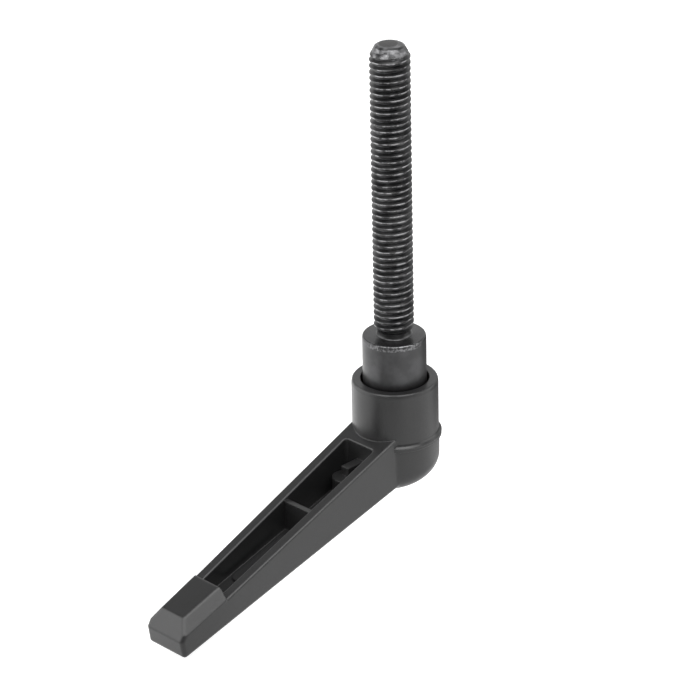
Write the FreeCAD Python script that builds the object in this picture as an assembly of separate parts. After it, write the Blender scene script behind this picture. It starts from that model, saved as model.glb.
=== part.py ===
import FreeCAD, Part
import math
import os

# Adjustable clamping lever with a long threaded stud.
# Millimetres. The origin is on the stud's axis, in the collar's bearing face.
# +Z runs along the stud, the arm reaches out along -X, and the arm is symmetric about the XZ plane.

# Threaded stud, taken over its thread crests
stud_radius = 3.95
stud_length = 60.3
stud_end_face_radius = 2.45
stud_end_cone_radius = 2.9
stud_end_cone_length = 2.2
stud_end_crown = 0.25
neck_radius = 3.25
neck_length = 1.7
neck_runout = 0.6

# Collar, the bearing face that meets the clamped part
collar_radius = 6.3
collar_edge_radial = 0.28
collar_edge_axial = 0.5

# Serration that couples the insert and the lever, and the guide groove beside it
tooth_count = 24
insert_end_z = -17.0
tooth_length = 3.0
tooth_groove = 1.0
tooth_tip_radius = 5.9
tooth_root_radius = 5.2
tooth_half_thickness = 0.3
tooth_flank_angle = 25.0
tooth_tip_clearance = 0.1

# Shoulder screw that holds the lever on the insert
shoulder_radius = 2.75
screw_thread_radius = 1.9
screw_thread_length = 7.0
screw_thread_clearance = 0.1
screw_head_radius = 4.25
screw_head_height = 2.2
screw_head_edge = 0.35
socket_across_flats = 4.0
socket_depth = 1.3

# Spring and the travel it allows
spring_length = 7.5
spring_wire_radius = 0.4
spring_wire_sides = 6
spring_mean_radius = 3.7
spring_turns = 3.25
spring_end_grind = 0.15

# Hub of the lever
rim_z = -9.35
hub_radius = 8.57
hub_edge_radial = 0.31
hub_edge_axial = 0.8
collar_gap = 0.5
shoulder_clearance = 0.08
head_clearance = 0.3
ledge_thickness = 1.5
flare_start_z = -20.1
lip_radius = 9.1
lip_top_z = -20.85
lip_bottom_z = -21.55
lip_step = 0.2
hub_lower_radius = 8.7
hub_lower_draft_angle = 1.0
hub_end_z = -30.05
hub_end_edge = 3.4

# Arm of the lever: two sloping planes seen from the side, and a taper seen from above
arm_rim_z = -16.6
arm_rim_angle = 20.95
arm_outer_z = -28.2
arm_outer_angle = 15.0
arm_half_width = 6.32
arm_taper_angle = 1.152
arm_outer_edge = 0.8
arm_rim_edge = 0.5
arm_hub_crease = 1.0

# Raised finger pad and nose at the tip, measured back from the nose and up from the rim plane
nose_s = 62.8
nose_drop = 0.35
nose_foot_inset = 0.6
pad_front_inset = 2.4
pad_front_rise = 2.57
pad_back_inset = 11.6
pad_back_rise = 2.25
pad_back_edge = 0.5
pad_edge_half_width = 3.35
pad_front_half_width = 3.05

# Open channel on the arm's stud side
wall_thickness = 2.25
floor_thickness = 1.8
channel_start_s = 9.95
channel_end_inset = 12.4
channel_corner = 0.8
channel_edge = 0.4
rib_s = 26.8
rib_thickness = 1.1
rib_drop = 0.7
post_s = 14.2
post_radius = 2.55
post_top_z = -25.9
web_thickness = 2.0
web_top_z = -24.0
plateau_start_gap = 1.55
plateau_end_gap = 6.9
plateau_half_width = 2.3
plateau_height = 0.6
plateau_corner = 1.2

# Tolerance for finding an edge by its place
sliver = 0.02


def revolve(points):
    """Solid of revolution about Z from (radius, z) points."""
    wire = Part.makePolygon([FreeCAD.Vector(r, 0, z) for r, z in points + points[:1]])
    return Part.Face(wire).revolve(FreeCAD.Vector(0, 0, 0), FreeCAD.Vector(0, 0, 1), 360)


def extrude_up(points, low_z, high_z):
    """Upright prism over a plan outline of (x, y) points."""
    wire = Part.makePolygon([FreeCAD.Vector(x, y, low_z) for x, y in points + points[:1]])
    return Part.Face(wire).extrude(FreeCAD.Vector(0, 0, high_z - low_z))


def extrude_across(points, half_width):
    """Prism across the arm over a side outline of (x, z) points."""
    wire = Part.makePolygon([FreeCAD.Vector(x, -half_width, z) for x, z in points + points[:1]])
    return Part.Face(wire).extrude(FreeCAD.Vector(0, 2 * half_width, 0))


def tube(radius, low_z, high_z, x=0.0):
    """Round bar parallel to the stud's axis."""
    return Part.makeCylinder(radius, high_z - low_z, FreeCAD.Vector(x, 0, low_z))


def rim_height(s):
    """Height of the arm's rim plane at the distance s from the stud's axis."""
    return arm_rim_z - s * math.tan(math.radians(arm_rim_angle))


def outer_height(s, inset=0.0):
    """Height of the arm's outer plane, or of a plane parallel to it inside the casting."""
    slope = math.radians(arm_outer_angle)
    return arm_outer_z + inset / math.cos(slope) - s * math.tan(slope)


def pad_back():
    """Distance out and height of the pad's back edge."""
    s = nose_s - pad_back_inset
    return s, rim_height(s) + pad_back_rise


def pad_front():
    """Distance out and height of the pad's front edge, where the nose begins."""
    s = nose_s - pad_front_inset
    return s, rim_height(s) + pad_front_rise


def half_width(s, inset=0.0):
    """Half the arm's width at the distance s from the stud's axis."""
    return arm_half_width - inset - s * math.tan(math.radians(arm_taper_angle))


def middle(edge):
    """Point halfway along an edge."""
    first, last = edge.ParameterRange
    return edge.valueAt((first + last) / 2)


def upright_edges(shape):
    """Straight edges of a prism that run parallel to the stud's axis."""
    return [edge for edge in shape.Edges if abs(edge.tangentAt(0).z) > math.cos(math.radians(1))]


def toothed_bar(tip_half, root_half, tip_radius, root_radius, phase, low_z, high_z):
    """Prism with straight-sided teeth between two radii, either outward or inward."""
    points = []
    for tooth in range(tooth_count):
        centre = math.radians(phase + tooth * 360.0 / tooth_count)
        corners = [(root_radius, -root_half), (tip_radius, -tip_half)]
        corners += [(tip_radius, tip_half), (root_radius, root_half)]
        for radius, offset in corners:
            angle = centre + offset / radius
            points.append((radius * math.cos(angle), radius * math.sin(angle)))
    return extrude_up(points, low_z, high_z)


def tooth_half(depth_from_pitch):
    """Half a tooth's thickness at a height above the middle of its flank."""
    return tooth_half_thickness - depth_from_pitch * math.tan(math.radians(tooth_flank_angle))


def threaded_insert():
    """One turned piece: serrated head, guide collar, relief neck and stud."""
    teeth_top_z = insert_end_z + tooth_length
    head_bottom_z = teeth_top_z + tooth_groove
    neck_top_z = neck_length + neck_runout
    profile = [
        (0, insert_end_z),
        (tooth_root_radius, insert_end_z),
        (tooth_root_radius, head_bottom_z),
        (collar_radius - collar_edge_radial, head_bottom_z),
        (collar_radius, head_bottom_z + collar_edge_radial),
        (collar_radius, -collar_edge_axial),
        (collar_radius - collar_edge_radial / 3, -collar_edge_axial / 3),
        (collar_radius - collar_edge_radial, 0),
        (neck_radius, 0),
        (neck_radius, neck_length),
        (stud_radius, neck_top_z),
        (stud_radius, stud_length - stud_end_cone_length),
        (stud_end_cone_radius, stud_length - stud_end_crown),
        (stud_end_face_radius, stud_length),
        (0, stud_length),
    ]
    body = revolve(profile)
    reach = (tooth_tip_radius - tooth_root_radius) / 2
    teeth = toothed_bar(tooth_half(reach), tooth_half(-reach), tooth_tip_radius,
                        tooth_root_radius, 0.0, insert_end_z, teeth_top_z)
    hole_radius = screw_thread_radius + screw_thread_clearance
    tapped_hole = tube(hole_radius, insert_end_z - 1, insert_end_z + screw_thread_length + 1)
    return body.fuse(teeth).cut(tapped_hole).removeSplitter()


def retaining_screw():
    """Shoulder screw: the shoulder seats on the insert, the socket head carries the spring."""
    seat_z = spring_seat_z()
    head_end_z = seat_z - screw_head_height
    profile = [
        (0, head_end_z),
        (screw_head_radius - screw_head_edge, head_end_z),
        (screw_head_radius, head_end_z + screw_head_edge),
        (screw_head_radius, seat_z),
        (shoulder_radius, seat_z),
        (shoulder_radius, insert_end_z),
        (screw_thread_radius, insert_end_z),
        (screw_thread_radius, insert_end_z + screw_thread_length),
        (0, insert_end_z + screw_thread_length),
    ]
    corner_radius = socket_across_flats / math.sqrt(3)
    socket = [(corner_radius * math.cos(math.radians(60 * k)),
               corner_radius * math.sin(math.radians(60 * k))) for k in range(6)]
    return revolve(profile).cut(extrude_up(socket, head_end_z - 1, head_end_z + socket_depth))


def spring_seat_z():
    """Height of the screw head's inner face, where the spring's fixed end sits."""
    return insert_end_z - ledge_thickness - spring_length


def spring():
    """Compression spring with both ends ground flat against the ledge and the screw head."""
    low_z = spring_seat_z()
    high_z = low_z + spring_length
    inset = spring_wire_radius - spring_end_grind
    rise = spring_length - 2 * inset
    path = Part.makeHelix(rise / spring_turns, rise, spring_mean_radius)
    section = []
    for side in range(spring_wire_sides):
        angle = math.radians((side + 0.5) * 360.0 / spring_wire_sides)
        radius = spring_mean_radius + spring_wire_radius * math.cos(angle)
        section.append(FreeCAD.Vector(radius, 0, spring_wire_radius * math.sin(angle)))
    coil = Part.Wire(path.Edges).makePipeShell([Part.makePolygon(section + section[:1])], True, True)
    coil.translate(FreeCAD.Vector(0, 0, low_z + inset))
    return coil.common(tube(hub_radius, low_z, high_z))


def sloping_slab(top_at_axis_z, angle):
    """Block below a plane that slopes down along the arm."""
    size = 4 * nose_s
    slab = Part.makeBox(size, size, size, FreeCAD.Vector(-size / 2, -size / 2, -size))
    slab.rotate(FreeCAD.Vector(0, 0, 0), FreeCAD.Vector(0, 1, 0), -angle)
    slab.translate(FreeCAD.Vector(0, 0, top_at_axis_z))
    return slab


def hub_blank():
    """Outside of the hub: upper cylinder, flare into the lip, lower cylinder, slanted end."""
    step_z = lip_bottom_z - lip_step
    below_z = hub_end_z - 2 * hub_radius
    below_radius = hub_lower_radius - (step_z - below_z) * math.tan(math.radians(hub_lower_draft_angle))
    flare_middle_z = (flare_start_z + lip_top_z) / 2
    flare_middle_radius = hub_radius + (lip_radius - hub_radius) / 3
    profile = [
        (0, rim_z),
        (hub_radius - hub_edge_radial, rim_z),
        (hub_radius - hub_edge_radial / 3, rim_z - hub_edge_axial / 3),
        (hub_radius, rim_z - hub_edge_axial),
        (hub_radius, flare_start_z),
        (flare_middle_radius, flare_middle_z),
        (lip_radius, lip_top_z),
        (lip_radius, lip_bottom_z),
        (hub_lower_radius, step_z),
        (below_radius, below_z),
        (0, below_z),
    ]
    blank = revolve(profile).cut(sloping_slab(hub_end_z, arm_outer_angle))
    end_face = min(blank.Faces, key=lambda face: face.CenterOfMass.z)
    return blank.makeFillet(hub_end_edge, end_face.OuterWire.Edges)


def arm_blank():
    """Outside of the arm: sloping rim and outer planes, raised pad and two-facet nose."""
    back_s, back_z = pad_back()
    front_s, front_z = pad_front()
    foot_s = nose_s - nose_foot_inset
    edge_s = back_s + pad_back_edge
    edge_z = back_z + (front_z - back_z) * pad_back_edge / (front_s - back_s)
    side = [
        (0, rim_height(0)),
        (-back_s, rim_height(back_s)),
        (-back_s, back_z - pad_back_edge),
        (-back_s - pad_back_edge / 4, back_z - pad_back_edge / 3),
        (-edge_s, edge_z),
        (-front_s, front_z),
        (-nose_s, rim_height(nose_s) - nose_drop),
        (-foot_s, outer_height(foot_s)),
        (0, outer_height(0)),
    ]
    plan = [
        (0, -half_width(0)),
        (0, half_width(0)),
        (-nose_s - 1, half_width(nose_s + 1)),
        (-nose_s - 1, -half_width(nose_s + 1)),
    ]
    blank = extrude_across(side, arm_half_width + 1)
    blank = blank.common(extrude_up(plan, outer_height(nose_s) - 1, rim_height(0) + 1))
    bevel = pad_bevel()
    other_bevel = bevel.mirror(FreeCAD.Vector(0, 0, 0), FreeCAD.Vector(0, 1, 0))
    return blank.cut(bevel).cut(other_bevel).removeSplitter()


def half_space(corner, along, across, size):
    """Block that fills the outer side of the plane through three points."""
    normal = (along - corner).cross(across - corner).normalize()
    block = Part.makeBox(2 * size, 2 * size, size, FreeCAD.Vector(-size, -size, 0))
    block.Placement = FreeCAD.Placement(corner, FreeCAD.Rotation(FreeCAD.Vector(0, 0, 1), normal))
    return block


def pad_bevel():
    """Block that slants the near side of the finger pad from its top edge out to the rim line."""
    back_s, back_z = pad_back()
    front_s, front_z = pad_front()
    back_edge = FreeCAD.Vector(-back_s, -pad_edge_half_width, back_z)
    front_edge = FreeCAD.Vector(-front_s, -pad_front_half_width, front_z)
    rim_corner = FreeCAD.Vector(-back_s, -half_width(back_s), rim_height(back_s))
    size = nose_s
    beyond_back = Part.makeBox(size, size, 2 * size, FreeCAD.Vector(-back_s - size, -size, back_z - size))
    return half_space(back_edge, front_edge, rim_corner, size).common(beyond_back)


def is_outer_edge(edge):
    """Whether an edge of the plain arm gets the larger rounding: outer side, pad and nose."""
    at = middle(edge)
    s = -at.x
    long_outer = edge.Length > pad_back()[0] and at.z < rim_height(s) - wall_thickness
    on_pad = s > pad_back()[0] + arm_outer_edge
    fold = s < pad_front()[0] and abs(at.y) > pad_edge_half_width + arm_outer_edge
    return long_outer or (on_pad and not fold)


def is_rim_edge(edge):
    """Whether an edge of the plain arm is one of the two long outer edges of its rim."""
    at = middle(edge)
    on_rim = abs(at.z - rim_height(-at.x)) < arm_rim_edge
    return on_rim and edge.Length > nose_s - channel_end_inset and abs(at.y) > pad_edge_half_width


def is_channel_edge(edge):
    """Whether an edge of the arm runs around the channel's mouth, in the rim plane."""
    at = middle(edge)
    on_rim = abs(at.z - rim_height(-at.x)) < sliver
    across = abs(at.y) < half_width(-at.x, wall_thickness) + sliver
    along = channel_start_s - sliver < -at.x < nose_s - channel_end_inset + sliver
    return on_rim and across and along


def is_hub_crease(edge):
    """Whether an edge of the casting is where the arm's side meets the hub, below the lip."""
    at = middle(edge)
    on_side = abs(abs(at.y) - half_width(-at.x)) < sliver
    below_lip = outer_height(-at.x) + arm_outer_edge < at.z < lip_bottom_z - lip_step
    return on_side and below_lip and 0 < -at.x < lip_radius


def rounded_arm():
    """Arm with its outer edges, pad and nose rounded, then the two long rim edges."""
    blank = arm_blank()
    blank = blank.makeFillet(arm_outer_edge, [edge for edge in blank.Edges if is_outer_edge(edge)])
    return blank.makeFillet(arm_rim_edge, [edge for edge in blank.Edges if is_rim_edge(edge)])


def channel_void():
    """Open space of the channel, with its rib, post, web and floor plateau left standing."""
    end_s = nose_s - channel_end_inset
    top_z = rim_height(0)
    bottom_z = outer_height(end_s) - 1
    plan = [
        (-channel_start_s, -half_width(channel_start_s, wall_thickness)),
        (-channel_start_s, half_width(channel_start_s, wall_thickness)),
        (-end_s, half_width(end_s, wall_thickness)),
        (-end_s, -half_width(end_s, wall_thickness)),
    ]
    void = extrude_up(plan, bottom_z, top_z)
    void = void.makeFillet(channel_corner, upright_edges(void))
    floor_z = outer_height(0, floor_thickness)
    void = void.cut(sloping_slab(floor_z, arm_outer_angle))
    return void.cut(channel_inserts(floor_z, bottom_z))


def channel_inserts(floor_z, bottom_z):
    """Rib, post, web and plateau that stand in the channel."""
    rib = Part.makeBox(rib_thickness, 2 * arm_half_width, rim_height(rib_s) - rib_drop - bottom_z,
                       FreeCAD.Vector(-rib_s - rib_thickness / 2, -arm_half_width, bottom_z))
    post = tube(post_radius, bottom_z, post_top_z, -post_s)
    web = Part.makeBox(post_s - channel_start_s, web_thickness, web_top_z - bottom_z,
                       FreeCAD.Vector(-post_s, -web_thickness / 2, bottom_z))
    plateau_start_s = rib_s + rib_thickness / 2 + plateau_start_gap
    plateau_end_s = nose_s - channel_end_inset - plateau_end_gap
    plateau = Part.makeBox(plateau_end_s - plateau_start_s, 2 * plateau_half_width, -bottom_z,
                           FreeCAD.Vector(-plateau_end_s, -plateau_half_width, bottom_z))
    plateau = plateau.makeFillet(plateau_corner, upright_edges(plateau))
    plateau = plateau.common(sloping_slab(floor_z + plateau_height, arm_outer_angle))
    return rib.fuse([post, web, plateau])


def hub_void():
    """Everything cut out of the hub along the stud's axis, from the rim down."""
    teeth_top_z = insert_end_z + tooth_length
    ledge_end_z = insert_end_z - ledge_thickness
    reach = (tooth_tip_radius - tooth_root_radius) / 2
    bore_radius = collar_radius + collar_gap
    tip_radius = tooth_root_radius + tooth_tip_clearance
    root_radius = tooth_tip_radius + tooth_tip_clearance
    below_end_z = hub_end_z - hub_radius
    half_pitch = 180.0 / tooth_count
    teeth = toothed_bar(tooth_half(reach), tooth_half(-reach), tip_radius, root_radius,
                        half_pitch, insert_end_z, teeth_top_z)
    return tube(bore_radius, teeth_top_z, rim_z + 1).fuse([
        teeth,
        tube(shoulder_radius + shoulder_clearance, ledge_end_z - 1, insert_end_z + 1),
        tube(screw_head_radius + head_clearance, below_end_z, ledge_end_z),
    ])


def lever():
    """One casting: hub and arm, with the channel, serration, ledge and spring pocket."""
    arm = rounded_arm().cut(channel_void())
    arm = arm.makeFillet(channel_edge, [edge for edge in arm.Edges if is_channel_edge(edge)])
    casting = hub_blank().fuse(arm).removeSplitter()
    creases = [edge for edge in casting.Edges if is_hub_crease(edge)]
    casting = casting.makeFillet(arm_hub_crease, creases)
    return casting.cut(hub_void())


def main():
    os.makedirs("parts", exist_ok=True)
    solids = {
        "lever": lever(),
        "threaded_insert": threaded_insert(),
        "spring": spring(),
        "retaining_screw": retaining_screw(),
    }
    for node, shape in solids.items():
        shape.exportStep(f"parts/{node}.step")
        print(node, "solids", len(shape.Solids), "valid", shape.isValid(),
              "volume", round(shape.Volume, 1))


main()
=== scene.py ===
# %% [markdown]
# # An adjustable clamping lever
# The real object is a black powder-coated casting, a hub with an arm, that sits on a turned steel
# insert with a long threaded stud. Lifting the lever against a hidden spring frees its serration, so
# the arm can be turned to a new angle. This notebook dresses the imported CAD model: the casting keeps
# its CAD shape and gets a powder coat, and the steel pieces are modelled again in full detail.

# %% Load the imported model
import math

import bpy
from mathutils import Matrix, Vector


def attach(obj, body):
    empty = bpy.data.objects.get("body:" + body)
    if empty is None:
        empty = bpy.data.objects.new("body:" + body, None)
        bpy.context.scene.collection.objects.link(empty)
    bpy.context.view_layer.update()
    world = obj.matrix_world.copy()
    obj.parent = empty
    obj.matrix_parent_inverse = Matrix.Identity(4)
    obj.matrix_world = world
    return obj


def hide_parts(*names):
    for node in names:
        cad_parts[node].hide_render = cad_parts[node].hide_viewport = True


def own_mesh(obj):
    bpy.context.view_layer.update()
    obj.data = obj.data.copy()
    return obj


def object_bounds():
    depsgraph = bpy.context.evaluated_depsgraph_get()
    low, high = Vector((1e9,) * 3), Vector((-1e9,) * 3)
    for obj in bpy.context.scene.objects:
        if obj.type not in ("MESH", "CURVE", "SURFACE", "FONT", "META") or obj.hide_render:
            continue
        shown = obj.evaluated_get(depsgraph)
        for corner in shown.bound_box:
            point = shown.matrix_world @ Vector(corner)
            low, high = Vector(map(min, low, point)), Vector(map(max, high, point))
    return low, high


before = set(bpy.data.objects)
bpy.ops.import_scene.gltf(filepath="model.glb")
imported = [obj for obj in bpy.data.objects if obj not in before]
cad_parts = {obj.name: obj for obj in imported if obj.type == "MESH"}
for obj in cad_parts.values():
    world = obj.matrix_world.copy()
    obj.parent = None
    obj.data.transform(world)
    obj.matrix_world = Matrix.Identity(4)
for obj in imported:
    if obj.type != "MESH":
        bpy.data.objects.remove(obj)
cad_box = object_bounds()
MM = 0.001

# %% [markdown]
# ## The camera
# The camera comes first, because everything after it is judged through it. Its place, turn and focal
# length were solved from the photograph: the stud's two edges, the hub's rim and the arm's long lines.
# It is a long lens, so the arm hardly shrinks towards its far end.

# %% Camera
CAMERA_PLACE = Vector((-439.25, -439.27, 298.77)) * MM
CAMERA_AZIMUTH = math.radians(-44.023)
CAMERA_ELEVATION = math.radians(25.771)
CAMERA_ROLL = math.radians(-1.341)
FOCAL_PIXELS = 3533.0
FRAME_PIXELS = 680
SENSOR_MM = 36.0

camera_data = bpy.data.cameras.new("camera")
camera_data.sensor_width = SENSOR_MM
camera_data.lens = FOCAL_PIXELS / FRAME_PIXELS * SENSOR_MM
camera_data.clip_start = 0.01
camera_data.clip_end = 50.0
camera = bpy.data.objects.new("camera", camera_data)
bpy.context.scene.collection.objects.link(camera)
turn = Matrix.Rotation(CAMERA_AZIMUTH, 4, "Z") @ Matrix.Rotation(math.pi / 2 - CAMERA_ELEVATION, 4, "X")
camera.matrix_world = Matrix.Translation(CAMERA_PLACE) @ turn @ Matrix.Rotation(CAMERA_ROLL, 4, "Z")
bpy.context.scene.camera = camera
print("lens", round(camera_data.lens, 2), "mm")

# %% [markdown]
# ## Helpers for modelling by hand
# A turned or coiled piece starts as a line drawn point by point: a plane is collapsed to one vertex,
# and that vertex is extruded along the outline. The Screw modifier then sweeps the line round the
# stud's axis. Everything is deselected first, because an operator acts on all that is selected.

# %% Drawing helpers
def deselect():
    """Leave edit mode and select nothing."""
    if bpy.context.object and bpy.context.object.mode != "OBJECT":
        bpy.ops.object.mode_set(mode="OBJECT")
    bpy.ops.object.select_all(action="DESELECT")


def pick(piece):
    """Make one piece the only selected and the active one."""
    deselect()
    piece.select_set(True)
    bpy.context.view_layer.objects.active = piece
    return piece


def settle(name):
    """Name the primitive that was just added and move its place and turn into its mesh."""
    piece = bpy.context.object
    piece.name = piece.data.name = name
    bpy.ops.object.transform_apply(location=True, rotation=True, scale=True)
    return piece


def cylinder(name, sides, radius, low_z, high_z):
    """A closed cylinder on the stud's axis between two heights, in millimetres."""
    deselect()
    bpy.ops.mesh.primitive_cylinder_add(vertices=sides, radius=radius * MM, depth=(high_z - low_z) * MM,
                                        location=(0, 0, (high_z + low_z) / 2 * MM))
    return settle(name)


def draw(name, outline):
    """A line of edges through (radius, z) points in millimetres, drawn by extruding one vertex."""
    deselect()
    bpy.ops.mesh.primitive_plane_add(size=MM, location=(0, 0, 0))
    piece = bpy.context.object
    piece.name = piece.data.name = name
    bpy.ops.object.mode_set(mode="EDIT")
    bpy.ops.mesh.select_mode(type="VERT")
    bpy.ops.mesh.merge(type="CENTER")
    bpy.ops.transform.translate(value=(outline[0][0] * MM, 0, outline[0][1] * MM))
    for (r0, z0), (r1, z1) in zip(outline, outline[1:]):
        step = ((r1 - r0) * MM, 0, (z1 - z0) * MM)
        bpy.ops.mesh.extrude_region_move(TRANSFORM_OT_translate={"value": step})
    bpy.ops.object.mode_set(mode="OBJECT")
    return piece


def apply(piece, kind, **settings):
    """Add one modifier with its settings and apply it at once."""
    pick(piece)
    modifier = piece.modifiers.new(kind.lower(), kind)
    for key, value in settings.items():
        setattr(modifier, key, value)
    bpy.ops.object.modifier_apply(modifier=modifier.name)
    return piece


# %% [markdown]
# ## Helpers for solids
# A swept line becomes a solid once its doubled points are merged and its faces point outwards. Two
# solids are joined or cut with an exact boolean, which wants closed shells, so each piece reports how
# many of its edges are open or have too many faces: a closed shell has none.

# %% Solid helpers
MERGE_DISTANCE = 0.002
FINE_MERGE_DISTANCE = 0.0005
FULL_TURN = 2 * math.pi


def clean(piece, distance=MERGE_DISTANCE):
    """Merge doubled points and turn every face outwards."""
    pick(piece)
    bpy.ops.object.mode_set(mode="EDIT")
    bpy.ops.mesh.select_all(action="SELECT")
    bpy.ops.mesh.remove_doubles(threshold=distance * MM)
    bpy.ops.mesh.normals_make_consistent(inside=False)
    bpy.ops.object.mode_set(mode="OBJECT")
    return piece


def smooth(piece, degrees):
    """Smooth shading that keeps edges sharper than an angle crisp."""
    pick(piece)
    bpy.ops.object.shade_smooth_by_angle(angle=math.radians(degrees))
    return piece


def sweep(piece, steps, angle=FULL_TURN, rise=0, turns=1):
    """Sweep a line round the stud's axis; a line that rises makes a coil, whose turns stay apart."""
    return apply(piece, "SCREW", axis="Z", angle=angle, screw_offset=rise * MM, iterations=turns, steps=steps,
                 render_steps=steps, use_merge_vertices=rise == 0, merge_threshold=0.001 * MM)


def turned(name, outline, steps=96):
    """A solid turned on the stud's axis, from an outline that ends on the axis or where it began."""
    return clean(sweep(draw(name, outline), steps))


def combine(piece, other, operation):
    """Exact boolean of two closed pieces; the second one is used up."""
    apply(piece, "BOOLEAN", operation=operation, object=other, solver="EXACT")
    bpy.data.objects.remove(other)
    return piece


def open_edges(piece):
    """How many edges don't have exactly two faces, so 0 is a closed shell."""
    uses = {}
    for polygon in piece.data.polygons:
        for key in polygon.edge_keys:
            uses[key] = uses.get(key, 0) + 1
    return sum(1 for count in uses.values() if count != 2)


def report(piece):
    """Print a piece's size in faces and whether it is closed."""
    print(piece.name, "faces", len(piece.data.polygons), "open edges", open_edges(piece))


# %% [markdown]
# ## Rounded outlines
# No machined corner is perfectly sharp: a small radius catches the light and makes it read as metal.
# Each outline is written as plain corners, some with a radius, and this helper puts an arc of a few
# points at each of them.

# %% Rounding helper
ARC_STEPS = 4


def rounded(corners):
    """Outline points from (radius, z) or (radius, z, rounding) corners in millimetres."""
    points = []
    for index, corner in enumerate(corners):
        here = Vector(corner[:2])
        rounding = corner[2] if len(corner) > 2 else 0
        if not rounding:
            points.append(tuple(here))
            continue
        back = (Vector(corners[index - 1][:2]) - here).normalized()
        ahead = (Vector(corners[index + 1][:2]) - here).normalized()
        half_angle = back.angle(ahead) / 2
        reach = rounding / math.tan(half_angle)
        centre = here + (back + ahead).normalized() * rounding / math.sin(half_angle)
        start, end = here + back * reach - centre, here + ahead * reach - centre
        sweep_angle = start.angle_signed(end)
        for step in range(ARC_STEPS + 1):
            turned_by = Matrix.Rotation(-sweep_angle * step / ARC_STEPS, 2)
            points.append(tuple(centre + turned_by @ start))
    return points


print("points of one rounded corner", len(rounded([(0, 0), (1, 0, 0.2), (1, 1)])) - 2)

# %% [markdown]
# ## The threaded stud
# A real M8 thread is a 60 degree groove cut 1.25 mm per turn, with flat crests and rounded roots. One
# flank of the profile is drawn and mirrored, and the Screw modifier sweeps it up the axis, so its
# edges follow the true helix.

# %% Thread
PITCH = 1.25
CREST_RADIUS = 3.95
ROOT_RADIUS = 3.22
STUD_LENGTH = 60.3
THREAD_STEPS = 64
SPARE_TURNS = 2

flank = [
    (ROOT_RADIUS, 0.0), (ROOT_RADIUS + 0.012, 0.07), (ROOT_RADIUS + 0.06, 0.125),
    (CREST_RADIUS - 0.09, 0.465), (CREST_RADIUS - 0.025, 0.51), (CREST_RADIUS, 0.565),
]
tooth = flank + [(radius, PITCH - z) for radius, z in reversed(flank)]
stud = draw("stud_thread", [(radius, z - SPARE_TURNS * PITCH) for radius, z in tooth])
turns = int(STUD_LENGTH / PITCH) + 2 * SPARE_TURNS
sweep(stud, THREAD_STEPS, rise=PITCH, turns=turns)
clean(stud)
print("turns", turns, "faces", len(stud.data.polygons))

# %% [markdown]
# ## Cutting the coil to length
# The coil's ends are ragged steps. A bisect with fill cuts it flat and closes it at each end. The fill
# leaves some doubled faces, so both cuts lie beyond the stud's ends. The coil is then kept only inside
# a turned blank, which has the end chamfer and the run-out at the neck: that is how the real cutter
# leaves the last turns, and what is left is a closed solid.

# %% Coil
COIL_LOW_Z = -0.6
COIL_SPARE = 0.3


def cut_flat(piece, z, keep):
    """Cut a piece with a level plane, close the cut and keep what is above or below it."""
    pick(piece)
    bpy.ops.object.mode_set(mode="EDIT")
    bpy.ops.mesh.select_all(action="SELECT")
    bpy.ops.mesh.bisect(plane_co=(0, 0, z * MM), plane_no=(0, 0, 1), use_fill=True,
                        clear_inner=keep == "above", clear_outer=keep == "below")
    bpy.ops.object.mode_set(mode="OBJECT")
    return piece


cut_flat(stud, COIL_LOW_Z, "above")
cut_flat(stud, STUD_LENGTH + COIL_SPARE, "below")
clean(stud)
report(stud)

# %% Blank and stud
HAIR = 0.01
NECK_RADIUS = 3.25
NECK_END_Z = 1.3
BLANK_LOW_Z = 0.7
BLANK_SPARE = 0.1
BLANK_STEPS = 90
RUN_OUT = 0.75
END_FACE_RADIUS = 2.45
END_CONE_RADIUS = 2.9
END_CONE_LENGTH = 2.2
END_CROWN = 0.25

cone_slope = (END_CONE_LENGTH - END_CROWN) / (CREST_RADIUS - END_CONE_RADIUS)
cone_low_z = STUD_LENGTH - END_CONE_LENGTH - BLANK_SPARE * cone_slope
blank = turned("stud_blank", rounded([
    (0, BLANK_LOW_Z), (NECK_RADIUS - HAIR, BLANK_LOW_Z), (NECK_RADIUS - HAIR, NECK_END_Z, 0.3),
    (CREST_RADIUS + BLANK_SPARE, NECK_END_Z + RUN_OUT), (CREST_RADIUS + BLANK_SPARE, cone_low_z),
    (END_CONE_RADIUS, STUD_LENGTH - END_CROWN, 0.3), (END_FACE_RADIUS, STUD_LENGTH, 0.2),
    (0, STUD_LENGTH),
]), steps=BLANK_STEPS)
report(blank)
combine(stud, blank, "INTERSECT")
clean(stud)
report(stud)

# %% [markdown]
# ## The insert's collar and serrated head
# Collar, neck, guide groove and head are turned in one setting on the real piece, so they are one
# outline here, with the blind hole for the retaining screw up the middle. The collar's upper edge is
# three small arcs, because rubbing wears it rounder than the cutter left it.

# %% Insert body
COLLAR_RADIUS = 6.3
COLLAR_BOTTOM_Z = -13.0
HEAD_END_Z = -17.0
TOOTH_ROOT_RADIUS = 5.2
HOLE_RADIUS = 2.0
HOLE_TOP_Z = -9.0
DRILL_POINT = 1.1
NECK_TOP_Z = 1.1
INSERT_STEPS = 128
TURNED_CREASE = 32

insert = turned("threaded_insert_turned", rounded([
    (0, HOLE_TOP_Z), (HOLE_RADIUS, HOLE_TOP_Z - DRILL_POINT), (HOLE_RADIUS, HEAD_END_Z),
    (TOOTH_ROOT_RADIUS, HEAD_END_Z), (TOOTH_ROOT_RADIUS, COLLAR_BOTTOM_Z, 0.2),
    (COLLAR_RADIUS, COLLAR_BOTTOM_Z, 0.3), (COLLAR_RADIUS, -0.5, 0.5),
    (COLLAR_RADIUS - 0.1, -0.16, 0.2), (COLLAR_RADIUS - 0.28, 0, 0.12),
    (NECK_RADIUS, 0, 0.5), (NECK_RADIUS, NECK_TOP_Z), (0, NECK_TOP_Z),
]), steps=INSERT_STEPS)
report(insert)

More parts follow.
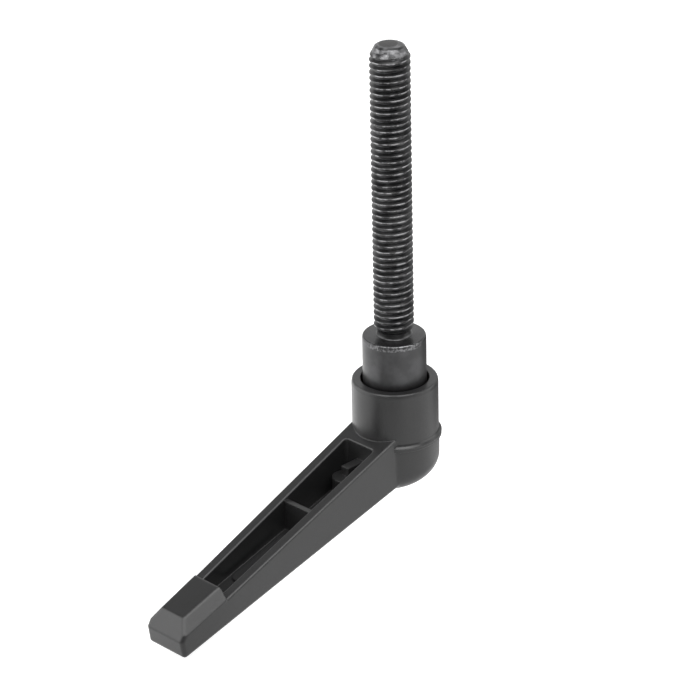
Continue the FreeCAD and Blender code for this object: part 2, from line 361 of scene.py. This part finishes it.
# %% [markdown]
# ## The serration
# The head's 24 teeth lock the lever's angle. They are a 48-sided cylinder of which every other side is
# extruded outwards. The new sides are made a hair lower, so that the teeth's ends don't lie in the
# plane of the cylinder's, and the sharp edges are bevelled a little.

# %% Serration
TEETH = 24
TEETH_TOP_Z = -14.0
TOOTH_TIP_RADIUS = 5.9
TOOTH_EDGE = 0.06

serration = cylinder("serration", 2 * TEETH, TOOTH_ROOT_RADIUS, HEAD_END_Z, TEETH_TOP_Z)
side_angle = FULL_TURN / (2 * TEETH)
for polygon in serration.data.polygons:
    angle = math.atan2(polygon.center.y, polygon.center.x)
    is_side = abs(polygon.normal.z) < 0.5
    polygon.select = is_side and round(angle / side_angle - 0.5) % 2 == 0
print("tooth faces", sum(polygon.select for polygon in serration.data.polygons))
bpy.ops.object.mode_set(mode="EDIT")
bpy.ops.mesh.select_mode(type="FACE")
bpy.ops.mesh.extrude_region_shrink_fatten(
    TRANSFORM_OT_shrink_fatten={"value": (TOOTH_TIP_RADIUS - TOOTH_ROOT_RADIUS) * MM})
bpy.ops.transform.resize(value=(1, 1, 0.999))
bpy.ops.object.mode_set(mode="OBJECT")
apply(serration, "BEVEL", width=TOOTH_EDGE * MM, segments=1, limit_method="ANGLE",
      angle_limit=math.radians(50))
clean(serration, FINE_MERGE_DISTANCE)
report(serration)

# %% One insert
for other in (serration, stud):
    combine(insert, other, "UNION")
    clean(insert, FINE_MERGE_DISTANCE)
smooth(insert, TURNED_CREASE)
report(insert)
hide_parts("threaded_insert")
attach(insert, "insert")

# %% [markdown]
# ## The spring
# A compression spring of round wire stands between the lever's ledge and the screw's head. A circle
# of wire is swept along a helix by the Screw modifier, and the tube's two ends are filled.

# %% Spring wire
SPRING_LOW_Z = -26.0
SPRING_LENGTH = 7.5
WIRE_RADIUS = 0.4
WIRE_SIDES = 20
COIL_RADIUS = 3.7
COILS = 3.25
STEPS_PER_COIL = 64
END_GRIND = 0.15

wire_low_z = SPRING_LOW_Z + WIRE_RADIUS - END_GRIND
deselect()
bpy.ops.mesh.primitive_circle_add(vertices=WIRE_SIDES, radius=WIRE_RADIUS * MM, rotation=(math.pi / 2, 0, 0),
                                  location=(COIL_RADIUS * MM, 0, wire_low_z * MM))
spring = settle("spring_wire")
sweep(spring, int(STEPS_PER_COIL * COILS), angle=FULL_TURN * COILS,
      rise=SPRING_LENGTH - 2 * (WIRE_RADIUS - END_GRIND))
pick(spring)
bpy.ops.object.mode_set(mode="EDIT")
bpy.ops.mesh.select_mode(type="EDGE")
bpy.ops.mesh.select_all(action="DESELECT")
bpy.ops.mesh.select_non_manifold()
bpy.ops.mesh.edge_face_add()
bpy.ops.object.mode_set(mode="OBJECT")
report(spring)

# %% [markdown]
# ## The spring's ground ends
# A grinder makes both ends of the coil flat, so that it stands straight. Here the coil is kept only
# between two level faces. It is squashed with the lift, so it closes up when the lever is raised.

# %% Ground ends
SPRING_TOP_Z = SPRING_LOW_Z + SPRING_LENGTH
WIRE_CREASE = 40

clean(spring, FINE_MERGE_DISTANCE)
between_faces = cylinder("between_faces", 32, 2 * COIL_RADIUS, SPRING_LOW_Z, SPRING_TOP_Z)
combine(spring, between_faces, "INTERSECT")
clean(spring, FINE_MERGE_DISTANCE)
smooth(spring, WIRE_CREASE)
report(spring)
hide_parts("spring")
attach(spring, "spring_body")
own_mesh(spring)

# %% [markdown]
# ## The retaining screw
# A shoulder screw holds the lever and carries the spring. Its head shows in the hub's lower end: a
# turned outline with soft corners, from which a hexagonal socket with a drilled cone is cut.

# %% Retaining screw
SCREW_HEAD_RADIUS = 4.25
SCREW_HEAD_END_Z = -28.2
SHOULDER_RADIUS = 2.75
SCREW_TIP_RADIUS = 1.9
SCREW_TIP_Z = -10.0

screw = turned("retaining_screw_turned", rounded([
    (0, SCREW_HEAD_END_Z), (SCREW_HEAD_RADIUS, SCREW_HEAD_END_Z, 0.45),
    (SCREW_HEAD_RADIUS, SPRING_LOW_Z, 0.15), (SHOULDER_RADIUS, SPRING_LOW_Z, 0.15),
    (SHOULDER_RADIUS, HEAD_END_Z, 0.1), (SCREW_TIP_RADIUS, HEAD_END_Z, 0.1),
    (SCREW_TIP_RADIUS, SCREW_TIP_Z, 0.4), (0, SCREW_TIP_Z),
]))
report(screw)

# %% Socket
SOCKET_ACROSS_FLATS = 4.0
SOCKET_DEPTH = 1.3
SOCKET_LEDGE = 0.3
SOCKET_CONE = 0.5
SCREW_EDGE = 0.08

socket = cylinder("hexagonal_socket", 6, SOCKET_ACROSS_FLATS / math.sqrt(3),
                  SCREW_HEAD_END_Z - SOCKET_DEPTH, SCREW_HEAD_END_Z + SOCKET_DEPTH)
for polygon in socket.data.polygons:
    polygon.select = polygon.normal.z > 0.9
bpy.ops.object.mode_set(mode="EDIT")
bpy.ops.mesh.select_mode(type="FACE")
bpy.ops.mesh.inset(thickness=SOCKET_LEDGE * MM)
bpy.ops.mesh.extrude_region_move(TRANSFORM_OT_translate={"value": (0, 0, SOCKET_CONE * MM)})
bpy.ops.transform.resize(value=(0.1, 0.1, 1))
bpy.ops.object.mode_set(mode="OBJECT")
report(socket)
combine(screw, socket, "DIFFERENCE")
clean(screw, FINE_MERGE_DISTANCE)
apply(screw, "BEVEL", width=SCREW_EDGE * MM, segments=2, limit_method="ANGLE", angle_limit=math.radians(45))
smooth(screw, TURNED_CREASE)
report(screw)
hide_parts("retaining_screw")
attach(screw, "insert")

# %% [markdown]
# ## The hollow at the hub's foot
# On the real casting the upper hub doesn't stand on the arm with a sharp corner: the mould has a small
# radius there, and it catches the light as a thin arc. The CAD model leaves it out, because that
# rounding fails where it runs out at the arm's sides. Here plain copies of the hub and the arm's top,
# a hair smaller, are joined, ready to get the same corner bevelled.

# %% Plain hub and arm
HUB_RADIUS = 8.57
HUB_SIDES = 192
HUB_COPY_LOW_Z = -34.0
HUB_COPY_HIGH_Z = -10.0
RIM_PLANE_Z = -16.6
RIM_SLOPE = math.radians(20.95)
HALF_WIDTH_AT_HUB = 5.7
SLAB_LENGTH = 30.0
SLAB_THICKNESS = 4.0

foot = cylinder("hub_foot_rounding", HUB_SIDES, HUB_RADIUS - HAIR, HUB_COPY_LOW_Z, HUB_COPY_HIGH_Z)
deselect()
bpy.ops.mesh.primitive_cube_add(size=1, location=(0, 0, 0))
bpy.ops.transform.resize(value=(SLAB_LENGTH * MM, 2 * HALF_WIDTH_AT_HUB * MM, SLAB_THICKNESS * MM))
slab = settle("arm_slab")
slab.matrix_world = (Matrix.Translation((0, 0, (RIM_PLANE_Z - HAIR) * MM))
                     @ Matrix.Rotation(-RIM_SLOPE, 4, "Y")
                     @ Matrix.Translation((-SLAB_LENGTH / 2 * MM, 0, -SLAB_THICKNESS / 2 * MM)))
pick(slab)
settle("arm_slab")
combine(foot, slab, "UNION")
clean(foot, FINE_MERGE_DISTANCE)
report(foot)

# %% [markdown]
# ## Bevelling the corner
# The corner's edges are found by their distance from the hub's wall and from the arm's rim plane, both
# of which are 0 there. Of the bevelled solid only the faces that stand off both are kept, and a small
# thickness makes that strip a closed piece.

# %% Corner distances
NEAR = 0.02


def off_wall(point):
    """How far a point is outside the hub's wall, in millimetres."""
    return point.xy.length / MM - (HUB_RADIUS - HAIR)


def off_plane(point):
    """How far a point is above the arm's rim plane, in millimetres."""
    return (point.z / MM - (RIM_PLANE_Z - HAIR) - point.x / MM * math.tan(RIM_SLOPE)) * math.cos(RIM_SLOPE)


at_corner = [abs(off_wall(vertex.co)) < NEAR and abs(off_plane(vertex.co)) < NEAR and vertex.co.x < 0
             for vertex in foot.data.vertices]
print("corner points", sum(at_corner))

# %% Foot strip
FOOT_ROUNDING = 1.0
FOOT_ARC_STEPS = 6
STRIP_THICKNESS = 0.3
TRIM_CREASE = 50
ON_STRIP_FROM = 0.001
ON_STRIP_TO = 2.0

pick(foot)
foot.data.polygons.foreach_set("select", [False] * len(foot.data.polygons))
foot.data.vertices.foreach_set("select", at_corner)
for edge in foot.data.edges:
    edge.select = all(at_corner[index] for index in edge.vertices)
bpy.ops.object.mode_set(mode="EDIT")
bpy.ops.mesh.select_mode(type="EDGE")
bpy.ops.mesh.bevel(offset=FOOT_ROUNDING * MM, segments=FOOT_ARC_STEPS, affect="EDGES", clamp_overlap=True)
bpy.ops.mesh.select_mode(type="FACE")
bpy.ops.mesh.select_all(action="DESELECT")
bpy.ops.object.mode_set(mode="OBJECT")
for polygon in foot.data.polygons:
    out, up = off_wall(polygon.center), off_plane(polygon.center)
    off_both = ON_STRIP_FROM < out < ON_STRIP_TO and ON_STRIP_FROM < up < ON_STRIP_TO
    polygon.select = not (off_both and polygon.center.x < 0)
bpy.ops.object.mode_set(mode="EDIT")
bpy.ops.mesh.delete(type="FACE")
bpy.ops.object.mode_set(mode="OBJECT")
print("strip faces", len(foot.data.polygons))
apply(foot, "SOLIDIFY", thickness=STRIP_THICKNESS * MM, offset=-1)
clean(foot, FINE_MERGE_DISTANCE)
smooth(foot, TRIM_CREASE)
report(foot)
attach(foot, "lever_body")

# %% [markdown]
# ## The parting lines on the lip
# The lip round the hub is where the two halves of the mould meet. Trimming leaves a fine ridge along
# each of its edges, and in the photograph these are two thin bright lines. They are one turned ring,
# sunk into the lip so that only the ridges stand out.

# %% Lip ridges
LIP_RADIUS = 9.1
LIP_TOP_Z = -20.85
LIP_BOTTOM_Z = -21.55
RIDGE_HEIGHT = 0.08
RIDGE_ROUNDING = 0.09
RING_DEPTH = 0.3
HOLLOW_DEPTH = 0.1
RIDGE_STEPS = 160

ridge_radius = LIP_RADIUS + RIDGE_HEIGHT
inner_radius = LIP_RADIUS - RING_DEPTH
hollow_radius = LIP_RADIUS - HOLLOW_DEPTH
first_corner = (inner_radius, LIP_TOP_Z + 0.2)
ridges = turned("lip_ridges", rounded([
    first_corner, (ridge_radius, LIP_TOP_Z - 0.05, RIDGE_ROUNDING),
    (hollow_radius, LIP_TOP_Z - 0.28), (hollow_radius, LIP_BOTTOM_Z + 0.2),
    (ridge_radius, LIP_BOTTOM_Z, RIDGE_ROUNDING), (inner_radius, LIP_BOTTOM_Z - 0.12),
    first_corner,
]), steps=RIDGE_STEPS)
smooth(ridges, TRIM_CREASE)
report(ridges)
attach(ridges, "lever_body")

# %% [markdown]
# ## Helpers for the finishes
# A finish is a tree of nodes. These helpers add a node, feed its inputs with numbers, colours or other
# nodes' outputs, and give back the output that the next node needs.

# %% Node helpers
def node(tree, kind, **settings):
    """Add a node with its settings."""
    made = tree.nodes.new(kind)
    for key, value in settings.items():
        setattr(made, key, value)
    return made


def feed(tree, value, target):
    """Give an input a number, a plain colour or the output of another node."""
    if isinstance(value, tuple):
        target.default_value = (*value, 1)
    elif isinstance(value, (int, float)):
        target.default_value = value
    else:
        tree.links.new(value, target)


def math_node(tree, operation, first, second):
    """A Math node of two values; returns its output."""
    made = node(tree, "ShaderNodeMath", operation=operation)
    feed(tree, first, made.inputs[0])
    feed(tree, second, made.inputs[1])
    return made.outputs[0]


def ramp(tree, value, low, high, out_low=0.0, out_high=1.0):
    """A smooth Map Range from low..high to out_low..out_high; returns its output."""
    made = node(tree, "ShaderNodeMapRange", interpolation_type="SMOOTHSTEP")
    feed(tree, value, made.inputs["Value"])
    for label, bound in (("From Min", low), ("From Max", high), ("To Min", out_low), ("To Max", out_high)):
        feed(tree, bound, made.inputs[label])
    return made.outputs["Result"]


def noise(tree, place, scale, detail=3.0):
    """A Noise Texture; returns its grey output."""
    made = node(tree, "ShaderNodeTexNoise")
    tree.links.new(place, made.inputs["Vector"])
    made.inputs["Detail"].default_value = detail
    made.inputs["Roughness"].default_value = 0.55
    feed(tree, scale, made.inputs["Scale"])
    return made.outputs["Fac"]


def tint(tree, mask, under, over):
    """Mix of two linear colours by a mask; each is a plain colour or an output. Returns the colour."""
    mix = node(tree, "ShaderNodeMix", data_type="RGBA")
    tree.links.new(mask, mix.inputs["Factor"])
    feed(tree, under, mix.inputs["A"])
    feed(tree, over, mix.inputs["B"])
    return mix.outputs["Result"]


def object_place(tree):
    """Object coordinates, which are metres in the CAD model's own frame."""
    return node(tree, "ShaderNodeTexCoord").outputs["Object"]


# %% [markdown]
# ## Shared effects
# Two effects come back again and again, so each is a node group. "fine_grain", in every finish of the
# part, is a large and a small noise that break up a flat surface. "wear_and_highlight_band", three
# times on the steel, gives a mask inside a band of height and outside a radius round the stud's axis,
# with ragged borders: on the collar and the tip that is where handling and turning rub the black off,
# and on the thread crests it is partly rubbed steel and partly a painted highlight. "Front" is 1 on
# the side towards the camera and -1 on the other.

# %% Fine grain
def new_group(name, inputs, outputs):
    """An empty shader node group with named sockets; returns the group and its two end nodes."""
    group = bpy.data.node_groups.new(name, "ShaderNodeTree")
    for label in inputs:
        group.interface.new_socket(label, in_out="INPUT", socket_type="NodeSocketFloat")
    for label in outputs:
        group.interface.new_socket(label, in_out="OUTPUT", socket_type="NodeSocketFloat")
    return group, group.nodes.new("NodeGroupInput"), group.nodes.new("NodeGroupOutput")


grain, grain_in, grain_out = new_group("fine_grain", ["Large Scale", "Small Scale"], ["Large", "Small"])
place = object_place(grain)
grain.links.new(noise(grain, place, grain_in.outputs["Large Scale"]), grain_out.inputs["Large"])
grain.links.new(noise(grain, place, grain_in.outputs["Small Scale"], 2.0), grain_out.inputs["Small"])
print("group", grain.name, "nodes", len(grain.nodes))

# %% Wear and highlight band
FACING_PHOTO = -math.sqrt(0.5)
PATCH_EDGE = (0.42, 0.62)

band, band_in, band_out = new_group(
    "wear_and_highlight_band", ["Low Z", "High Z", "Radius", "Soft", "Patch Scale"], ["Mask", "Height", "Front"])
low_z, high_z, least_radius, soft, patch_scale = (
    band_in.outputs[label] for label in ("Low Z", "High Z", "Radius", "Soft", "Patch Scale"))
place = object_place(band)
split = node(band, "ShaderNodeSeparateXYZ")
band.links.new(place, split.inputs[0])
flat = node(band, "ShaderNodeCombineXYZ")
for axis in "XY":
    band.links.new(split.outputs[axis], flat.inputs[axis])
from_axis = node(band, "ShaderNodeVectorMath", operation="LENGTH")
band.links.new(flat.outputs[0], from_axis.inputs[0])
radius = from_axis.outputs["Value"]
height = split.outputs["Z"]
above = ramp(band, height, low_z, math_node(band, "ADD", low_z, soft))
below = ramp(band, height, math_node(band, "SUBTRACT", high_z, soft), high_z, 1.0, 0.0)
outside = ramp(band, radius, math_node(band, "SUBTRACT", least_radius, soft), least_radius)
# The patches mark rubbed steel, and on the thread crests partly a painted highlight.
patches = ramp(band, noise(band, place, patch_scale, 4.0), *PATCH_EDGE)
in_band = math_node(band, "MULTIPLY", math_node(band, "MULTIPLY", above, below), outside)
across = math_node(band, "ADD", split.outputs["X"], split.outputs["Y"])
front = math_node(band, "DIVIDE", math_node(band, "MULTIPLY", across, FACING_PHOTO), radius)
band.links.new(math_node(band, "MULTIPLY", in_band, patches), band_out.inputs["Mask"])
band.links.new(height, band_out.inputs["Height"])
band.links.new(front, band_out.inputs["Front"])
print("group", band.name, "nodes", len(band.nodes))

# %% [markdown]
# ## The powder coat
# The casting is sprayed with black powder that melts into a satin skin, slightly uneven like orange
# peel. It is a dielectric, so Metallic stays 0: the black is the Base Color, and the soft highlights
# come from Roughness. The unevenness is bump only, far finer than any edge of the casting. Powder
# flows away from edges as it melts, so a Bevel node lets the light run softly round each of them,
# wider at the arm's end, where the pad's folds are soft in the photograph. The two fine ridges on the
# lip and the strip at the hub's foot are round already and do without it.

# %% Material helpers
def new_material(name, metallic):
    """A material with one Principled shader; returns the material, its tree and the shader."""
    material = bpy.data.materials.new(name)
    material.use_nodes = True
    tree = material.node_tree
    shader = tree.nodes["Principled BSDF"]
    shader.inputs["Metallic"].default_value = metallic
    return material, tree, shader


def use_group(tree, group, **values):
    """Place a shared effect in a material with its own values."""
    made = node(tree, "ShaderNodeGroup", node_tree=group)
    for label, value in values.items():
        made.inputs[label.replace("_", " ")].default_value = value
    return made


def bump(tree, shader, height, distance):
    """Fine relief in millimetres on the shader's normal; returns the Bump node."""
    made = node(tree, "ShaderNodeBump")
    made.inputs["Distance"].default_value = distance * MM
    tree.links.new(height, made.inputs["Height"])
    tree.links.new(made.outputs["Normal"], shader.inputs["Normal"])
    return made


def dress(pieces, material):
    """Give pieces one material, in place of what they had."""
    for piece in pieces:
        piece.data.materials.clear()
        piece.data.materials.append(material)
        print(piece.name, "wears", material.name)


# %% Powder coat
GRAIN_SPREAD = (0.3, 0.7)
COAT_BLACK = (0.011, 0.011, 0.0112)
COAT_BLACK_LIGHTER = (0.016, 0.016, 0.0163)
COAT_ROUGHNESS = (0.28, 0.35)
COAT_IOR = 1.5
ORANGE_PEEL = 0.012
SOFT_EDGE = 0.3
SOFT_EDGE_AT_PAD = 0.5
PAD_SIDE_X = -62.0
HUB_SIDE_X = -56.0


def powder_coat(name, soft_edges):
    """The coat, with or without light that runs round the edges."""
    material, tree, shader = new_material(name, 0.0)
    skin = use_group(tree, grain, Large_Scale=160.0, Small_Scale=3200.0)
    black = tint(tree, skin.outputs["Large"], COAT_BLACK, COAT_BLACK_LIGHTER)
    tree.links.new(black, shader.inputs["Base Color"])
    gloss = ramp(tree, skin.outputs["Small"], *GRAIN_SPREAD, *COAT_ROUGHNESS)
    tree.links.new(gloss, shader.inputs["Roughness"])
    relief = bump(tree, shader, skin.outputs["Small"], ORANGE_PEEL)
    shader.inputs["IOR"].default_value = COAT_IOR
    if soft_edges:
        split = node(tree, "ShaderNodeSeparateXYZ")
        tree.links.new(object_place(tree), split.inputs[0])
        edge = node(tree, "ShaderNodeBevel", samples=6)
        reach = ramp(tree, split.outputs["X"], PAD_SIDE_X * MM, HUB_SIDE_X * MM,
                     SOFT_EDGE_AT_PAD * MM, SOFT_EDGE * MM)
        tree.links.new(reach, edge.inputs["Radius"])
        tree.links.new(edge.outputs["Normal"], relief.inputs["Normal"])
    return material


dress([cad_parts["lever"]], powder_coat("powder_coat", True))
dress([foot, ridges], powder_coat("powder_coat_crisp", False))

# %% [markdown]
# ## Black-oxide steel
# The insert is turned steel, blackened in a hot salt bath and lightly oiled. The oxide is thin, so
# the steel's own gloss shows through it: Metallic is high and the colour dark grey. The collar is
# duller than the thread, which holds the oil. The collar's upper edge and the tip are rubbed bright in
# patches. The thread crests have bright patches too, partly rubbed steel and partly a painted
# highlight. The end face has a dark spot in its middle.

# %% Steel wear and painted crest highlight
COLLAR_WEAR = 0.33
TIP_WEAR = 0.3
CREST_WEAR_AND_HIGHLIGHT = 0.6
FRONT_REACH = (0.45, 0.8)

steel, tree, shader = new_material("black_oxide", 0.85)
worn_collar = use_group(tree, band, Low_Z=-1.2 * MM, High_Z=0.2 * MM, Radius=5.95 * MM,
                        Soft=0.3 * MM, Patch_Scale=2200.0)
worn_tip = use_group(tree, band, Low_Z=57.9 * MM, High_Z=60.8 * MM, Radius=1.7 * MM,
                     Soft=0.3 * MM, Patch_Scale=800.0)
# On the thread crests the bright patches are partly rubbed steel and partly a painted highlight.
crests_worn_and_highlit = use_group(tree, band, Low_Z=2.0 * MM, High_Z=60.5 * MM, Radius=3.94 * MM,
                        Soft=0.06 * MM, Patch_Scale=700.0)
front_half = ramp(tree, worn_collar.outputs["Front"], *FRONT_REACH)
collar_mask = math_node(tree, "MULTIPLY", worn_collar.outputs["Mask"], front_half)
wear_and_crest_highlight = math_node(tree, "MULTIPLY", collar_mask, COLLAR_WEAR)
for mask, strength in ((worn_tip.outputs["Mask"], TIP_WEAR), (crests_worn_and_highlit.outputs["Mask"], CREST_WEAR_AND_HIGHLIGHT)):
    wear_and_crest_highlight = math_node(tree, "MAXIMUM", wear_and_crest_highlight, math_node(tree, "MULTIPLY", mask, strength))
print("wear nodes", len(tree.nodes))

# %% Steel zones
SPOT_PLACE = Vector((0.0, 0.4, 60.3)) * MM
SPOT_RAGGEDNESS = 0.6

speckle = use_group(tree, grain, Large_Scale=260.0, Small_Scale=2500.0)
height = worn_collar.outputs["Height"]
on_thread = ramp(tree, height, 0.0, 1.0 * MM)
on_end = ramp(tree, height, 58.6 * MM, 59.2 * MM)
on_face = math_node(tree, "MULTIPLY", ramp(tree, height, -0.12 * MM, -0.04 * MM),
                    ramp(tree, height, 0.1 * MM, 0.2 * MM, 1.0, 0.0))
from_spot = node(tree, "ShaderNodeVectorMath", operation="DISTANCE")
tree.links.new(object_place(tree), from_spot.inputs[0])
from_spot.inputs[1].default_value = SPOT_PLACE
ragged = math_node(tree, "ADD", from_spot.outputs["Value"],
                   math_node(tree, "MULTIPLY", speckle.outputs["Large"], SPOT_RAGGEDNESS * MM))
off_spot = ramp(tree, ragged, 1.9 * MM, 2.3 * MM)
print("zone nodes", len(tree.nodes))

# %% Steel colour and gloss
COLLAR_GREY = (0.056, 0.056, 0.057)
COLLAR_GREY_LIGHTER = (0.073, 0.073, 0.075)
THREAD_GREY = (0.028, 0.028, 0.029)
THREAD_GREY_LIGHTER = (0.08, 0.08, 0.081)
END_GREY = (0.075, 0.075, 0.077)
BARE_STEEL_AND_HIGHLIGHT = (0.42, 0.42, 0.43)
SPOT_BLACK = (0.012, 0.012, 0.012)
COLLAR_ROUGHNESS = 0.36
THREAD_ROUGHNESS = 0.28
SPOT_ROUGHNESS = 0.16
FACE_GLOSS = 0.1
STEEL_RELIEF = 0.01
MOTTLE_EDGE = (0.35, 0.65)

mottled = ramp(tree, speckle.outputs["Large"], *MOTTLE_EDGE)
dull = tint(tree, mottled, COLLAR_GREY, COLLAR_GREY_LIGHTER)
oily = tint(tree, mottled, THREAD_GREY, THREAD_GREY_LIGHTER)
colour = tint(tree, on_thread, dull, oily)
colour = tint(tree, on_end, colour, END_GREY)
# Bare steel where the black is rubbed off; on the thread crests partly a painted highlight.
colour = tint(tree, wear_and_crest_highlight, colour, BARE_STEEL_AND_HIGHLIGHT)
colour = tint(tree, off_spot, SPOT_BLACK, colour)
tree.links.new(colour, shader.inputs["Base Color"])
rough = ramp(tree, on_thread, 0.0, 1.0, COLLAR_ROUGHNESS, THREAD_ROUGHNESS)
rough = math_node(tree, "SUBTRACT", rough, math_node(tree, "MULTIPLY", on_face, FACE_GLOSS))
rough = ramp(tree, off_spot, 0.0, 1.0, SPOT_ROUGHNESS, rough)
tree.links.new(rough, shader.inputs["Roughness"])
bump(tree, shader, speckle.outputs["Small"], STEEL_RELIEF)
dress([insert, screw], steel)

# %% [markdown]
# ## Spring steel
# Spring wire is drawn bright and left bare, so it is full metal, with lighter and darker patches.

# %% Spring wire finish
WIRE_GREY = (0.28, 0.28, 0.29)
WIRE_GREY_LIGHTER = (0.42, 0.42, 0.43)
WIRE_ROUGHNESS = (0.28, 0.42)

wire, tree, shader = new_material("spring_wire_steel", 1.0)
drawn = use_group(tree, grain, Large_Scale=500.0, Small_Scale=5000.0)
tree.links.new(tint(tree, drawn.outputs["Large"], WIRE_GREY, WIRE_GREY_LIGHTER), shader.inputs["Base Color"])
gloss = ramp(tree, drawn.outputs["Small"], *GRAIN_SPREAD, *WIRE_ROUGHNESS)
tree.links.new(gloss, shader.inputs["Roughness"])
dress([spring], wire)

# %% [markdown]
# ## Studio
# The photograph is a catalogue picture on pure white. A black object shows its form by what it
# mirrors, so the light was placed by reflection: for each face, the camera's line was mirrored in the
# face, and what the photograph shows there says how bright that direction has to be. It takes a large
# soft box overhead, two high ones on the left and in front for the rounded edges, and two low ones at
# the sides.

# %% [markdown]
# ## The paper floor
# The floor shows as white to the camera but still takes a faint soft shadow. In reflections it is
# brighter on the left and dark at two bearings, as if a dark card lay there. The lever hangs on its
# stud in use, so the floor is a little lower than the part and leaves room for the lift.

# %% Floor
LIFT_ROOM = 0.004
FLOOR_SIZE = 6.0
PAPER_ROUGHNESS = 0.9

deselect()
bpy.ops.mesh.primitive_plane_add(size=FLOOR_SIZE, location=(0, 0, cad_box[0].z - LIFT_ROOM))
floor = settle("floor")
paper, tree, shader = new_material("paper", 0.0)
shader.inputs["Roughness"].default_value = PAPER_ROUGHNESS
place = object_place(tree)
distance = node(tree, "ShaderNodeVectorMath", operation="LENGTH")
tree.links.new(place, distance.inputs[0])
outwards = node(tree, "ShaderNodeVectorMath", operation="NORMALIZE")
tree.links.new(place, outwards.inputs[0])
print("floor at", round((cad_box[0].z - LIFT_ROOM) / MM, 1), "mm")

# %% Floor by bearing
DARK_BEHIND = math.radians(10)
DARK_FRONT = math.radians(-154)
BRIGHT_LEFT = math.radians(125)
CARD_EDGE = (0.55, 0.88)
BRIGHT_REACH = (-0.3, 0.7)
SHEEN = (0.55, 0.8)


def towards(bearing, low, high, out_low, out_high):
    """A value that changes from out_low to out_high as a place on the floor nears one bearing."""
    along = node(tree, "ShaderNodeVectorMath", operation="DOT_PRODUCT")
    tree.links.new(outwards.outputs["Vector"], along.inputs[0])
    along.inputs[1].default_value = (math.cos(bearing), math.sin(bearing), 0.0)
    return ramp(tree, along.outputs["Value"], low, high, out_low, out_high)


off_card = towards(DARK_BEHIND, *CARD_EDGE, 1.0, 0.0)
off_cards = math_node(tree, "MULTIPLY", off_card, towards(DARK_FRONT, *CARD_EDGE, 1.0, 0.0))
sheen = math_node(tree, "MULTIPLY", off_cards, towards(BRIGHT_LEFT, *BRIGHT_REACH, *SHEEN))
print("bearing nodes", len(tree.nodes))

# %% Floor glow
PAPER = 0.6
PAPER_BY_CARD = 0.15
WHITE = (1, 1, 1)
WHITE_REACH = (0.25, 1.0)
WHITE_LEVEL = (0.7, 1.0)


def seen_plainly(tree):
    """The Light Path node, and a mask of what the camera sees straight or through glass."""
    rays = node(tree, "ShaderNodeLightPath")
    seen = math_node(tree, "MAXIMUM", rays.outputs["Is Camera Ray"], rays.outputs["Is Transmission Ray"])
    return rays, seen


rays, seen = seen_plainly(tree)
glossy = rays.outputs["Is Glossy Ray"]
white = ramp(tree, distance.outputs["Value"], *WHITE_REACH, *WHITE_LEVEL)
glow = math_node(tree, "MAXIMUM", math_node(tree, "MULTIPLY", seen, white),
                 math_node(tree, "MULTIPLY", glossy, sheen))
on_card = math_node(tree, "MULTIPLY", glossy, math_node(tree, "SUBTRACT", 1.0, off_card))
tree.links.new(tint(tree, on_card, (PAPER,) * 3, (PAPER_BY_CARD,) * 3), shader.inputs["Base Color"])
feed(tree, WHITE, shader.inputs["Emission Color"])
tree.links.new(glow, shader.inputs["Emission Strength"])
dress([floor], paper)

# %% [markdown]
# ## The room
# The world is white to the camera. To the part it is a dim room that is bright low down at the back,
# because that is where the level faces send the camera's line.

# %% World
BRIGHT_SIDE = (0.64, 0.64, -0.43)
ROOM_REACH = (-0.15, 0.65)
ROOM_LIGHT = (0.15, 0.92)

world = bpy.data.worlds.new("studio")
bpy.context.scene.world = world
world.use_nodes = True
tree = world.node_tree
background = tree.nodes["Background"]
seen = seen_plainly(tree)[1]
direction = node(tree, "ShaderNodeVectorMath", operation="DOT_PRODUCT")
tree.links.new(node(tree, "ShaderNodeTexCoord").outputs["Generated"], direction.inputs[0])
direction.inputs[1].default_value = BRIGHT_SIDE
room = ramp(tree, direction.outputs["Value"], *ROOM_REACH, *ROOM_LIGHT)
tree.links.new(math_node(tree, "MAXIMUM", room, seen), background.inputs["Strength"])
feed(tree, WHITE, background.inputs["Color"])
print("world nodes", len(tree.nodes))

# %% [markdown]
# ## The lamps
# An area lamp is a soft box: its size sets how wide its reflection is on a rounded edge, and its watts
# over its area how bright. Each one looks at the part.

# %% Lamps
def softbox(name, place, size, watts, aim=(0, 0, 0)):
    """A rectangular area lamp that looks at a point; places and sizes in millimetres."""
    data = bpy.data.lights.new(name, "AREA")
    data.shape = "RECTANGLE"
    data.size, data.size_y = (value * MM for value in size)
    data.energy = watts
    lamp = bpy.data.objects.new(name, data)
    bpy.context.scene.collection.objects.link(lamp)
    lamp.location = Vector(place) * MM
    line = Vector(aim) * MM - lamp.location
    lamp.rotation_euler = line.to_track_quat("-Z", "Y").to_euler()
    print("lamp", name, watts, "W")


softbox("key_left", (-540, 540, 210), (800, 500), 3.2)
softbox("key_right", (540, -540, 210), (800, 500), 2.4)
softbox("front_high", (-46, -527, 728), (750, 570), 4.7)
softbox("left_high", (-600, -52, 560), (600, 400), 3.0)
softbox("top", (-150, -150, 850), (800, 800), 3.8, aim=(-25, 0, -30))
bpy.context.scene.view_settings.view_transform = "Standard"
